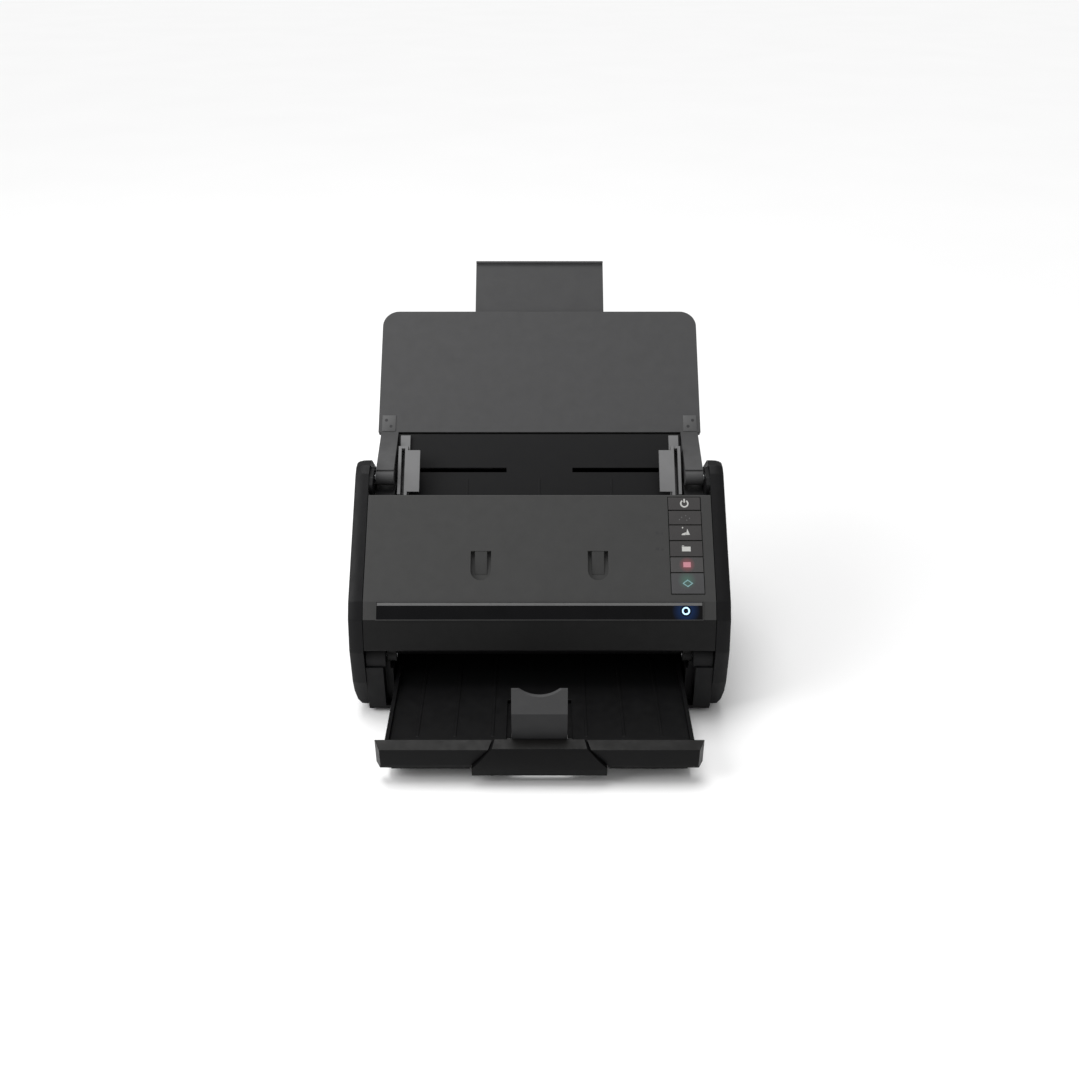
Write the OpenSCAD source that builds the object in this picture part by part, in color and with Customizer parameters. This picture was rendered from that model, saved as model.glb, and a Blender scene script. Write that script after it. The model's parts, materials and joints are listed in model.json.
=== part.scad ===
/* [Casing] */
// Width of the casing over the two side covers
body_w = 298; // [280:1:360]
// Depth of the casing from the front face to the rear wall
body_d = 170; // [160:1:205]
// Height of the hinge ears above the table
body_h = 173; // [155:1:209]
// Height of the rubber feet
foot_h = 3; // [2:0.5:5]
// Wall of the plastic covers
wall = 2.5; // [2:0.25:3.5]
// Thickness of each side cover, inside face to outside face
cheek_t = 11.5; // [9:0.5:13]
// Gap between the front cover and each side cover
cover_gap = 0.5; // [0.4:0.1:1]
// Rounding of the side covers' outer edges
cheek_round = 8; // [4:0.5:8]
// Rounding of the side covers seen from the side
cheek_edge = 3; // [2:0.5:6]
// Height of the sweep at the side covers' feet
foot_sweep = 24; // [10:1:28]

/* [Paper path] */
// Distance between the paper edges at the widest guide setting
paper_w = 217; // [200:1:225]
// Height of the paper exit above the table
exit_z = 61.5; // [58:0.5:66]
// Distance from the hinge axis of the input tray to the paper plane
hinge_drop = 14.9; // [13:0.1:17]
// Space between the lower and upper paper guides
nip_gap = 1.2; // [1:0.1:2]
// Radius of the pickup roller
pickup_r = 10; // [9:0.5:11]
// Radius of the feed and exit rollers
roller_r = 8; // [7:0.5:8.5]
// Radius of the free pinch rollers
pinch_r = 6; // [5:0.5:7]
// Radius of the roller shafts
shaft_r = 3; // [2.5:0.25:3.5]
// Radial clearance of every shaft and pin in its hole
fit = 0.05; // [0.02:0.01:0.1]

/* [Input tray] */
// Height of the input tray plate along the paper
tray_len = 112.5; // [90:0.5:130]
// Half width of the input tray plate
tray_half = 136; // [120:1:150]
// Thickness of the input tray over its ribs
tray_t = 7; // [6:0.5:9]
// Half width of the pull-up extension
ext_half = 56; // [40:1:65]
// How far the pull-up extension slides
ext_travel = 47; // [30:1:50]
// Swing of the input tray from open to closed
tray_swing = 150; // [120:1:150]
// Travel of each edge guide towards the middle
guide_travel = 80; // [60:1:82]

/* [Output tray] */
// How far the output tray slides into the casing
out_travel = 62; // [40:1:62]
// How far the centre extension pulls out
out_ext_travel = 70; // [40:1:70]
// Half width of the output tray
out_half = 114; // [105:0.5:118]
// Height of the output tray floor above the table
out_floor = 30; // [26:0.5:32]
// Half width of the paper stopper
stop_half = 20.5; // [15:0.5:25]
// Height of the raised paper stopper above its hinge
stop_h = 43.5; // [36:0.5:48]

/* [Keys] */
// Width of the key column
key_w = 26.5; // [20:0.5:30]
// Distance of the key column's outer edge from the side cover
key_inset = 8.7; // [6:0.1:12]
// Gap around each key
key_gap = 0.5; // [0.4:0.1:0.8]
// Travel of each key
key_travel = 0.8; // [0.5:0.1:1]

/* [Gears] */
// Gear module, tooth pitch divided by pi
gear_m = 1; // [0.8:0.1:1]
// Width of each gear
gear_w = 4; // [3:0.5:4.5]
// Slack cut from each tooth
backlash = 0.3; // [0.2:0.05:0.4]

/* [Hidden] */
$fn = 48;

// the working frame has x to the right, y to the back and z up
front_y = -91;
rear_y = front_y + body_d;
half_w = body_w / 2;
cheek_in = half_w - cheek_t;
pan_x = cheek_in - 0.2;
pan_z = foot_h;
deck_z = 37;
deck_t = 2.5;
plate_x = cheek_in - 9.5;
plate_t = 3;
hinge_y = rear_y - 63;
hinge_z = body_h - 14;
exit_y = front_y + 27.4;

// paper plane: through the exit, hinge_drop below the tray's hinge axis
rise = [hinge_y - exit_y, hinge_z - exit_z];
path_a = atan2(rise[1], rise[0]) - asin(hinge_drop / norm(rise));
path_len = sqrt(norm(rise) * norm(rise) - hinge_drop * hinge_drop);
function on(e, w) = [
    exit_y + e * cos(path_a) - w * sin(path_a),
    exit_z + e * sin(path_a) + w * cos(path_a)
];

// stations along the paper path, measured up from the exit
exit_e = 19;
scan_e = 36.5;
feed_e = 53;
guide_end = 89;
chute_top = path_len + 44;
roller_w = 0.4 - roller_r;
pickup_w = 0.6 - pickup_r;

// outline of the front cover
panel_top = [hinge_y - 25, hinge_z - 2];
panel_low = [front_y + 15, exit_z + 36.5];
strip_low = [front_y + 7, exit_z + 24.5];
face_low = [front_y, exit_z - 0.5];
panel_a = atan2(panel_top[1] - panel_low[1], panel_top[0] - panel_low[0]);
panel_len = norm(panel_top - panel_low);
strip_a = atan2(panel_low[1] - strip_low[1], panel_low[0] - strip_low[0]);
strip_len = norm(panel_low - strip_low);
upper_w = nip_gap + 2;
lip = on(path_len - 21, 27);
pivot = [front_y + 13, exit_z - 11.5];
cover_half = cheek_in - cover_gap;

// side cover outline
side_pts = [
    [front_y + 7, pan_z], [front_y + 1, 30], [front_y, exit_z - 1.5],
    [strip_low[0], strip_low[1]], [panel_low[0], panel_low[1]],
    [hinge_y - 15, hinge_z + 4], [hinge_y - 12, hinge_z + 9], [hinge_y - 4, hinge_z + 13.5],
    [hinge_y + 4, hinge_z + 14], [hinge_y + 10, hinge_z + 11], [rear_y - 19, hinge_z - 18], [rear_y, hinge_z - 54], [rear_y, 8], [rear_y - 7, pan_z]
];

// gear train in the paper plane's frame, [along the path, above the plane]
exit_n = 18;
feed_n = 18;
link_n = 20;
idle_n = 14;
pickup_n = 16;
drive_n = 12;
rack_n = 16;
feed_c = [feed_e, roller_w];
exit_c = [exit_e, roller_w];
pick_reach = 23.07 * gear_m;
pickup_c = [feed_e + sqrt(pick_reach * pick_reach - pow(roller_w - pickup_w, 2)), pickup_w];
link_c = below(exit_c, feed_c, mesh_d(exit_n, link_n), mesh_d(feed_n, link_n));
idle_c = below(feed_c, pickup_c, mesh_d(feed_n, idle_n), mesh_d(pickup_n, idle_n));
drive_c = [link_c[0], link_c[1] - mesh_d(link_n, drive_n)];
function mesh_d(a, b) = (a + b) * gear_m / 2;
// the centre that lies da from a and db from b, on the side below the line
function below(a, b, da, db) =
    let (d = norm(b - a), x = (da * da - db * db + d * d) / (2 * d), y = sqrt(da * da - x * x),
         u = (b - a) / d)
    a + u * x + [u[1], -u[0]] * y;
function aim(a, b) = atan2(b[1] - a[1], b[0] - a[0]);
// turn of gear b that meshes with gear a, when a is turned by pa
function mesh_turn(pa, ca, na, cb, nb) =
    aim(ca, cb) + 180 - (pa - aim(ca, cb)) * na / nb + 180 / nb;
feed_turn = 0;
link_turn = mesh_turn(feed_turn, feed_c, feed_n, link_c, link_n);
exit_turn = mesh_turn(link_turn, link_c, link_n, exit_c, exit_n);
drive_turn = mesh_turn(link_turn, link_c, link_n, drive_c, drive_n);
idle_turn = mesh_turn(feed_turn, feed_c, feed_n, idle_c, idle_n);
pickup_turn = mesh_turn(idle_turn, idle_c, idle_n, pickup_c, pickup_n);
gear_x = -plate_x - plate_t - 1 - gear_w;
shaft_x = gear_x - 0.5;

// tyres on each driven shaft, [from, to] on the right side
pickup_tyres = [[4, 24]];
feed_tyres = [[20, 36], [70, 86]];

// input tray
plate_e = path_len + 46;
tray_top = plate_e + tray_len;
ext_top = tray_top + 3 + ext_travel;
ext_t = 3;
skin_t = 2.2;
arm_in = cheek_in - 18.5;
arm_out = cheek_in - 4;
ear_in = cheek_in - 3;
boss_r = 6;
chute_half = arm_in - 0.7;
guide_in = paper_w / 2;
rack_e = path_len + 12;
rack_r = rack_n * gear_m / 2;

// output tray at rest, pulled out
out_front = front_y - 72;
out_back = front_y + 76;
bay_half = out_half + 3;
recess_half = out_half + 9.5;
bar_half = out_half + 8;
sled_half = 30;
stop_hinge = [out_front + 2, out_floor + 1];
tip_front = out_front - 12;

// keys: [upper edge, lower edge] down the panel
key_rows = [[3, 13.8], [14.6, 26], [26.8, 39.2], [40, 52.6], [53.4, 65.6], [66.4, 83]];
key_x1 = cover_half - key_inset + cover_gap;
key_x0 = key_x1 - key_w;

// half way between the foremost and the rearmost point of the scanner at rest
back_most = on(ext_top, -skin_t - 0.3 - ext_t)[0];
y_mid = (tip_front + back_most) / 2;

// ---- helpers ----

// puts the finished scanner's middle over the origin
module placed() {
    translate([0, -y_mid, 0]) children();
}

// a box between two corners
module box(a, b) {
    translate(a) cube(b - a);
}

// a flat outline in y and z, thickened from x0 to x1
module slab(x0, x1) {
    translate([x0, 0, 0]) rotate([90, 0, 90]) linear_extrude(x1 - x0) children();
}

// a cylinder along x through the point p in y and z
module rod(p, r, x0, x1) {
    translate([x0, p[0], p[1]]) rotate([0, 90, 0]) cylinder(r = r, h = x1 - x0);
}

// frame of the paper plane: y runs up the path from the exit, z stands off the plane
module on_path() {
    translate([0, exit_y, exit_z]) rotate([path_a, 0, 0]) children();
}

// frame of the front cover's upper panel: y runs up the panel, z stands off it
module on_panel() {
    translate([0, panel_top[0], panel_top[1]]) rotate([panel_a, 0, 0]) children();
}

// frame of the indicator strip's face: y runs up to the panel
module on_strip() {
    translate([0, strip_low[0], strip_low[1]]) rotate([strip_a, 0, 0]) children();
}

module both_sides() {
    children();
    mirror([1, 0, 0]) children();
}

module corner_soft(r) {
    offset(r = r) offset(delta = -r) children();
}

// spur gear outline, a tooth centred on the angle turn
module gear_outline(n, turn) {
    rp = n * gear_m / 2;
    step = 360 / n;
    tooth = step / 4 - backlash * 90 / (PI * rp);
    rotate(turn) union() {
        circle(r = rp - 1.2 * gear_m, $fn = 2 * n);
        for (i = [0:n - 1])
            rotate(i * step) polygon([
                (rp - 1.4 * gear_m) * [cos(tooth * 1.8), -sin(tooth * 1.8)],
                rp * [cos(tooth), -sin(tooth)],
                (rp + 0.9 * gear_m) * [cos(tooth * 0.45), -sin(tooth * 0.45)],
                (rp + 0.9 * gear_m) * [cos(tooth * 0.45), sin(tooth * 0.45)],
                rp * [cos(tooth), sin(tooth)],
                (rp - 1.4 * gear_m) * [cos(tooth * 1.8), sin(tooth * 1.8)]
            ]);
    }
}

// a gear of the train beside the left frame plate
module train_gear(n, c, turn, bore) {
    difference() {
        on_path() slab(gear_x, gear_x + gear_w) translate(c) gear_outline(n, turn);
        rod(on(c[0], c[1]), bore, gear_x - 1, gear_x + gear_w + 1);
    }
}

// ---- chassis ----

module bottom_pan() placed() color("#262626") {
    difference() {
        union() {
            box([-pan_x, front_y + 3, pan_z], [pan_x, rear_y - 3, pan_z + 3]);
            both_sides() {
                box([bay_half, front_y + 11.5, pan_z + 3], [bay_half + 2, rear_y - 6, deck_z]);
                for (y = screw_ys) translate([screw_x, y, pan_z + 3]) cylinder(r = 4, h = deck_z - pan_z - 3);
                box([pan_x - 2, front_y + 21, pan_z + 3], [pan_x, rear_y - 6, deck_z]);
                box([bay_half + 2, front_y + 11.5, pan_z + 3], [recess_half, front_y + 14, corner_z]);
                difference() {
                    box([recess_half, front_y + 2, pan_z + 3], [pan_x, front_y + 21, corner_z]);
                    box([recess_half + wall, front_y + 2 + wall, pan_z + 3], [pan_x - wall, front_y + 22, corner_z - wall]);
                }
            }
            box([-bay_half - 2, rear_y - 8, pan_z + 3], [bay_half + 2, rear_y - 6, deck_z]);
        }
        both_sides() for (y = screw_ys)
            translate([screw_x, y, deck_z - 12]) cylinder(r = 1.5, h = 20);
    }
}
corner_z = exit_z - 17.5;
screw_x = bay_half + 5.5;
screw_ys = [front_y + 43, front_y + 91, front_y + 148];

module rubber_feet() placed() color("#141414") {
    both_sides() for (y = [front_y + 18, rear_y - 16])
        translate([half_w - 28, y, 0]) cylinder(r = 7, h = pan_z);
}

module tray_bay_roof() placed() color("#303030") {
    difference() {
        box([-plate_x - plate_t, front_y + 31, deck_z], [plate_x + plate_t, rear_y - 5, deck_z + deck_t]);
        both_sides() for (y = screw_ys)
            translate([screw_x, y, deck_z - 1]) cylinder(r = 1.5, h = 10);
    }
}

module case_screws() placed() color("#8c8c8c") {
    both_sides() for (y = screw_ys) difference() {
        union() {
            translate([screw_x, y, deck_z - 9]) cylinder(r = 1.5, h = 9 + deck_t);
            translate([screw_x, y, deck_z + deck_t]) cylinder(r = 3, h = 2);
        }
        translate([screw_x, y, deck_z + deck_t + 1]) for (a = [0, 90])
            rotate(a) translate([-2, -0.35, 0]) cube([4, 0.7, 2]);
    }
}

// the cheek: flat at its inside face, rounded over towards its outside face and its foot
module cheek_solid() {
    hull() {
        slab(cheek_in, half_w - cheek_round) side_outline(0, pan_z);
        for (a = [20, 45, 70, 90]) {
            x = half_w - cheek_round * (1 - sin(a));
            slab(x - 0.05, x) side_outline(cheek_edge * (1 - cos(a)), pan_z + foot_sweep * (1 - cos(a)));
        }
    }
}

module side_outline(inset, low) {
    intersection() {
        offset(delta = -inset) corner_soft(5, $fn = 24) polygon(side_pts);
        translate([front_y - 1, low]) square([body_d + 2, body_h]);
    }
}

// thick inner part of the cheek that carries the input tray's hinge
module ear_pad() {
    slab(ear_in, cheek_in) corner_soft(2.5) polygon([
        [hinge_y - 19, hinge_z - 12], [hinge_y - 18.5, hinge_z + 2], [hinge_y - 12.5, hinge_z + 6.4],
        [hinge_y - 4, hinge_z + 8.4], [hinge_y + 6, hinge_z + 6.4], [hinge_y + 26, hinge_z - 5],
        [hinge_y + 12, hinge_z - 13]
    ]);
}

module side_cover(lever) {
    difference() {
        union() {
            difference() {
                cheek_solid();
                slab(cheek_in - 1, half_w - wall - 0.7) polygon(cavity_pts);
            }
            ear_pad();
            rod([hinge_y, hinge_z], 9, ear_in, half_w - wall + 0.5);
        }
        rod([hinge_y, hinge_z], shaft_r + fit, ear_in - 1, half_w - wall - 1);
        if (lever) rod(lever_c, lever_r + 0.35, cheek_in, half_w + 1);
    }
}
// the cheek's hollow, a wall inside its outline
cavity_pts = [
    [front_y + 8, pan_z + 12], [front_y + 4.5, 31], [front_y + 3.5, exit_z - 1.5],
    [strip_low[0] + 3.2, strip_low[1] - 1], [panel_low[0] + 2.5, panel_low[1] - 2],
    [hinge_y - 14, hinge_z + 1.8], [hinge_y - 4, hinge_z + 5.6], [hinge_y + 5, hinge_z + 3.8],
    [rear_y - 21, hinge_z - 21.6], [rear_y - 3, hinge_z - 55], [rear_y - 3, pan_z + 12]
];
lever_r = 9;
lever_c = [panel_top[0] - 31, panel_top[1] - 45];

module right_side_cover() placed() color("#1f1f1f") side_cover(false);

module left_side_cover() placed() color("#1f1f1f") mirror([1, 0, 0]) side_cover(true);

module cover_release_lever() placed() color("#333333") mirror([1, 0, 0]) {
    rod(lever_c, lever_r, half_w - 4.5, half_w - 1.4);
    slab(half_w - 4.5, half_w - 0.1) translate(lever_c) rotate(30) square([15, 3], center = true);
    slab(cheek_in + 1.5, half_w - 4.5) translate(lever_c) rotate(-55)
        translate([0, -3]) square([15, 6]);
    slab(cheek_in + 0.3, cheek_in + 1.5) translate(lever_c) rotate(-55)
        translate([11, -3]) square([4, 6]);
}

// rear wall, the slopes beside the chute and the hump that backs the chute
module rear_cover() placed() color("#262626") {
    knee = [rear_y, hinge_z - 13];
    ledge = [on(chute_top, -3), on(chute_top, -8.5), on(chute_top + 9, -8.5), knee];
    slope = [
        [hinge_y - 19, hinge_z - 13], [hinge_y - 8, hinge_z - 9.5], [hinge_y + 11, hinge_z - 9.5],
        [rear_y - 21, hinge_z - 22], [rear_y, hinge_z - 54]
    ];
    difference() {
        union() {
            box([-pan_x, rear_y - wall, pan_z + 4], [pan_x, rear_y, hinge_z - 54]);
            both_sides() {
                slab(chute_half, ear_in - 0.3) polygon(concat(slope, [
                    [rear_y - wall, hinge_z - 54], [rear_y - 22, hinge_z - 24.5],
                    [hinge_y + 10.5, hinge_z - 12], [hinge_y - 8.5, hinge_z - 12], [hinge_y - 19, hinge_z - 15.5]
                ]));
                slab(chute_half - 2.4, chute_half) polygon(concat([on(path_len + 3, -3)], ledge, [
                    [rear_y, hinge_z - 54], [rear_y - wall, hinge_z - 54], [rear_y - 22, hinge_z - 24.5]
                ]));
            }
            // fins that close the gap under the tray's arms
            both_sides() slab(chute_half, chute_half + 2) polygon([
                [hinge_y + 10.8, hinge_z - 9.6], on(path_len + 12, 1.5), on(path_len + 30, -6), on(chute_top - 3, -9.5),
                on(chute_top + 9, -9.5), knee, [rear_y - 2, hinge_z - 48], [rear_y - 22, hinge_z - 23]
            ]);
            slab(-chute_half, chute_half) polygon(concat(ledge, [
                [rear_y, hinge_z - 54], [rear_y - wall, hinge_z - 54], [rear_y - wall, hinge_z - 14],
                on(chute_top + 5, -11), on(chute_top - 3, -11), on(chute_top - 3, -3)
            ]));
        }
        // openings for the sockets and the cooling slots
        box([usb_x - 7, rear_y - 5, board_z + 0.6], [usb_x + 7, rear_y + 1, board_z + 14]);
        box([power_x - 7, rear_y - 5, board_z + 0.6], [power_x + 7, rear_y + 1, board_z + 14]);
        for (x = [-110:8:-30])
            box([x, rear_y - 5, 62], [x + 3.4, rear_y + 1, 88]);
    }
}

module frame_plate(x0, x1) {
    difference() {
        slab(x0, x1) corner_soft(2) polygon([
            [front_y + 33, deck_z + deck_t], [rear_y - 9, deck_z + deck_t], [rear_y - 9, hinge_z - 62],
            on(path_len, -6), on(path_len - 5, -0.6), on(3, -0.6), [front_y + 33, exit_z - 6]
        ]);
        for (c = [feed_c, exit_c, pickup_c])
            rod(on(c[0], c[1]), shaft_r + fit, x0 - 1, x1 + 1);
        slab(x0 - 1, x1 + 1) translate([front_y + 112, deck_z + 18]) square([30, 28]);
    }
}

module left_frame_plate() placed() color("#9aa0a4") {
    difference() {
        frame_plate(-plate_x - plate_t, -plate_x);
        rod(on(drive_c[0], drive_c[1]), 2 + fit, -plate_x - plate_t - 1, -plate_x + 1);
    }
}

module right_frame_plate() placed() color("#9aa0a4") frame_plate(plate_x, plate_x + plate_t);

module gear_axles() placed() color("#b8bcc0") {
    for (c = [link_c, idle_c])
        rod(on(c[0], c[1]), 2.5, gear_x - 0.5, -plate_x - plate_t);
}

// surface that the standing sheets rest on, with the slots for the edge guides' necks
module feed_chute() placed() color("#3a3a3a") {
    on_path() difference() {
        union() {
            box([-chute_half, guide_end + 1, -3], [chute_half, chute_top, 0]);
            for (x = [-60, 0, 60])
                box([x - 0.8, guide_end + 1, 0], [x + 0.8, rack_e - 8, 0.25]);
        }
        both_sides()
            box([guide_in - guide_travel - 1, rack_e - 2, -4], [guide_in + 7, rack_e + 2, 1]);
        translate([0, rack_e, -4]) cylinder(r = 2.5 + fit, h = 2.8);
    }
    both_sides() slab(chute_half, chute_half + 2.4) polygon([
        on(guide_end + 1, -3), on(path_len - 4, -3), [hinge_y + 10, hinge_z - 12],
        [hinge_y - 8.5, hinge_z - 12], [hinge_y - 19, hinge_z - 15.5]
    ]);
}

module tyre_window(list, e, half_e) {
    for (t = list) both_sides()
        box([t[0] - 1.5, e - half_e, -3], [t[1] + 1.5, e + half_e, 4]);
}

module lower_paper_guide() placed() color("#2c2c2c") {
    on_path() difference() {
        box([-plate_x, -2, -2], [plate_x, guide_end + 1, 0]);
        tyre_window(feed_tyres, feed_e, 7.5);
        tyre_window(feed_tyres, exit_e, 7.5);
        tyre_window(pickup_tyres, pickup_c[0], 8.5);
        box([-glass_half, scan_e - 5.5, -3], [glass_half, scan_e + 5.5, 1]);
    }
}
glass_half = 112;

module rear_scan_module() placed() color("#1a1a1a") {
    on_path() {
        difference() {
            box([-plate_x, scan_e - 6.5, -14], [plate_x, scan_e + 6.5, -2]);
            box([-glass_half + 4, scan_e - 3, -10], [glass_half - 4, scan_e + 3, -1]);
        }
        box([-glass_half + 6, scan_e - 1, -10], [glass_half - 6, scan_e + 1, -3.5]);
    }
}

module rear_scan_glass() placed() color("#6f8088") {
    on_path() box([-glass_half + 0.3, scan_e - 5.2, -2], [glass_half - 0.3, scan_e + 5.2, -0.2]);
}

module hinge_cover() {
    difference() {
        slab(recess_half - 2.5, pan_x) intersection() {
            hull() {
                translate(pivot) circle(r = 9.5);
                translate([pivot[0] - 9.5, corner_z]) square([26, 1]);
                translate([pivot[0] + 9, corner_z]) square([7, 12]);
            }
            translate([pivot[0] - 20, corner_z]) square(40);
        }
        slab(recess_half, pan_x - wall) hull() {
            translate(pivot) circle(r = 7);
            translate([pivot[0] - 7, corner_z - 1]) square([21, 2]);
            translate([pivot[0] + 9, corner_z]) square([5, 9.5]);
        }
        rod(pivot, shaft_r, recess_half - 4, recess_half + 1);
    }
}

module right_hinge_cover() placed() color("#242424") hinge_cover();

module left_hinge_cover() placed() color("#242424") mirror([1, 0, 0]) hinge_cover();

module cover_hinge_pins() placed() color("#b8bcc0") {
    both_sides() rod(pivot, shaft_r, arm_x0 - 0.5, recess_half + 3);
}
arm_x0 = recess_half - 10.5;
arm_x1 = recess_half - 3;

module drive_motor() placed() color("#7d8387") {
    c = on(drive_c[0], drive_c[1]);
    difference() {
        union() {
            rod(c, 16, -plate_x + 2, -plate_x + 36);
            slab(-plate_x, -plate_x + 2) hull() for (s = [-1, 1])
                translate([c[0] + s * 15, c[1]]) circle(r = 5);
        }
        rod(c, 2 + fit, -plate_x - 1, -plate_x + 5);
    }
}

board_z = deck_z + deck_t + 3.6;
usb_x = 66;
power_x = 92;

module main_board() placed() color("#1f5c3a") {
    box([-24, front_y + 99, board_z], [104, rear_y - 10, board_z + 1.6]);
    for (x = [-18, 98], y = [front_y + 104, rear_y - 15])
        translate([x, y, deck_z + deck_t]) cylinder(r = 3, h = board_z - deck_z - deck_t);
    for (p = [[-6, 22, 14], [22, 30, 10], [44, 14, 8]])
        box([p[0], front_y + 99 + p[1], board_z + 1.6], [p[0] + p[2], front_y + 99 + p[1] + p[2], board_z + 3.4]);
}

module usb_socket() placed() color("#c9ccce") {
    difference() {
        box([usb_x - 6, rear_y - 18, board_z + 1.6], [usb_x + 6, rear_y - 0.4, board_z + 12.6]);
        box([usb_x - 4.4, rear_y - 12, board_z + 3.2], [usb_x + 4.4, rear_y + 1, board_z + 11]);
    }
    box([usb_x - 2.8, rear_y - 12, board_z + 5.4], [usb_x + 2.8, rear_y - 3, board_z + 8.6]);
}

module power_socket() placed() color("#101010") {
    difference() {
        box([power_x - 6, rear_y - 15, board_z + 1.6], [power_x + 6, rear_y - 0.4, board_z + 12.6]);
        translate([power_x, rear_y - 11, board_z + 7]) rotate([-90, 0, 0]) cylinder(r = 3.2, h = 13);
    }
    translate([power_x, rear_y - 11, board_z + 7]) rotate([-90, 0, 0]) cylinder(r = 1, h = 8);
}

// ---- front cover ----

module cover_outline() {
    corner_soft(1.2) polygon([
        panel_top, panel_low, strip_low, face_low, [exit_y - 4, exit_z - 0.5],
        on(3, upper_w), on(guide_end - 1, upper_w), lip
    ]);
}

// finger pocket: a round-ended groove around a sloping tongue
module pocket_cut() {
    difference() {
        hull() {
            translate([-pocket_w / 2, -2, -pocket_d]) cube([pocket_w, 2, pocket_d + 1]);
            translate([0, -pocket_l + pocket_w / 2, -pocket_d]) cylinder(r = pocket_w / 2, h = pocket_d + 1, $fn = 32);
        }
        slab(-pocket_w / 2 + 3.2, pocket_w / 2 - 3.2)
            polygon([[1, -0.2], [1, -pocket_d - 1], [-pocket_l + 4, -pocket_d - 1], [-pocket_l + 6, -pocket_d + 0.3]]);
    }
}
pocket_w = 16;
pocket_l = 24;
pocket_d = 4;
pocket_x = 46;
pocket_v = 48;

module front_cover() placed() color("#3f3f3f") {
    difference() {
        union() {
            difference() {
                slab(-cover_half, cover_half) cover_outline();
                slab(-cover_half + wall, cover_half - wall) offset(delta = -wall) cover_outline();
                on_path() box([-plate_x, 5, 0], [plate_x, guide_end - 3, 8]);
            }
            // thicker floors under the finger pockets
            intersection() {
                on_panel() both_sides()
                    box([pocket_x - 10, -pocket_v - pocket_l - 2, -pocket_d - 2.2], [pocket_x + 10, -pocket_v + 2, -wall + 0.1]);
                slab(-cover_half, cover_half) polygon([panel_top, panel_low, on(3, upper_w), on(guide_end - 1, upper_w)]);
            }
            // hinge arms
            both_sides() slab(arm_x0, arm_x1) difference() {
                union() {
                    translate(pivot) circle(r = 5.6);
                    translate([pivot[0] - 4, pivot[1]]) square([10, exit_z - pivot[1] + 1]);
                }
                translate(pivot) circle(r = shaft_r + fit);
            }
        }
        // relief around the hinge covers
        both_sides() rod(pivot, 10.2, recess_half - 3, cover_half + 1);
        // opening for the keys
        on_panel() box([key_x0, -key_rows[5][1] - key_gap, -wall - 1], [key_x1, -key_rows[0][0] + key_gap, 1]);
        // finger pockets
        on_panel() for (s = [-1, 1]) translate([s * pocket_x, -pocket_v, 0]) pocket_cut();
        // recess of the indicator strip
        on_strip() box([-strip_half, 0.4, -1.2], [strip_half, strip_len - 0.4, 2]);
        on_strip() translate([light_x, strip_len / 2, -4]) cylinder(r = 3, h = 5);
    }
}
strip_half = 126.5;
light_x = 113.5;

module indicator_strip() placed() color("#0a0a0a") {
    on_strip() difference() {
        box([-strip_half + 0.1, 0.5, -1.2], [strip_half - 0.1, strip_len - 0.5, 0.2]);
        translate([light_x, strip_len / 2, -2]) cylinder(r = 4.4, h = 4);
    }
}

module status_light() placed() color("#3a6ea8") {
    on_strip() translate([light_x, strip_len / 2, -1.2]) difference() {
        cylinder(r = 4.3, h = 1.7);
        translate([0, 0, 0.9]) cylinder(r = 3.1, h = 1);
    }
}

module front_paper_guide() placed() color("#303030") {
    on_path() difference() {
        box([-plate_x, 3, nip_gap], [plate_x, guide_end - 1, upper_w]);
        tyre_window(feed_tyres, feed_e, 7.5);
        tyre_window(feed_tyres, exit_e, 7.5);
        tyre_window([[0, 22]], pickup_c[0], 9.4);
        box([-glass_half, scan_e - 5.5, 0], [glass_half, scan_e + 5.5, 4]);
    }
}

module front_scan_module() placed() color("#1a1a1a") {
    on_path() {
        difference() {
            box([-plate_x + 6, scan_e - 6.5, upper_w], [plate_x - 6, scan_e + 6.5, upper_w + 12]);
            box([-glass_half + 4, scan_e - 3, upper_w - 1], [glass_half - 4, scan_e + 3, upper_w + 8]);
        }
        box([-glass_half + 6, scan_e - 1, upper_w + 1.5], [glass_half - 6, scan_e + 1, upper_w + 8]);
    }
}

module front_scan_glass() placed() color("#6f8088") {
    on_path() box([-glass_half + 0.3, scan_e - 5.2, nip_gap + 0.2], [glass_half - 0.3, scan_e + 5.2, upper_w]);
}

sep_r = 9;
sep_c = [pickup_c[0], nip_gap - 0.2 + sep_r];
pinch_w = nip_gap - 0.4 + pinch_r;

module separation_holder() placed() color("#5b5f63") {
    on_path() difference() {
        union() {
            both_sides() box([25.5, sep_c[0] - 7, upper_w], [28, sep_c[0] + 7, sep_c[1] + 7]);
            box([-28, sep_c[0] - 13, upper_w], [28, sep_c[0] - 10.5, sep_c[1] + 4]);
            both_sides() box([25.5, sep_c[0] - 13, upper_w], [28, sep_c[0] - 6, sep_c[1] + 4]);
        }
        translate([-40, sep_c[0], sep_c[1]]) rotate([0, 90, 0]) cylinder(r = shaft_r + fit, h = 80);
    }
}

module pinch_brackets() placed() color("#5b5f63") {
    on_path() for (e = [exit_e, feed_e]) both_sides() difference() {
        box([93, e - 5, upper_w], [95.5, e + 5, pinch_w + 4]);
        translate([90, e, pinch_w]) rotate([0, 90, 0]) cylinder(r = 2 + fit, h = 10);
    }
}

// each key's middle in x, and its outline's ends
key_mid = (key_x0 + key_x1) / 2;
key_skirt = 2.6;
stem_r = 2;
board_drop = 8.6;
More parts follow.
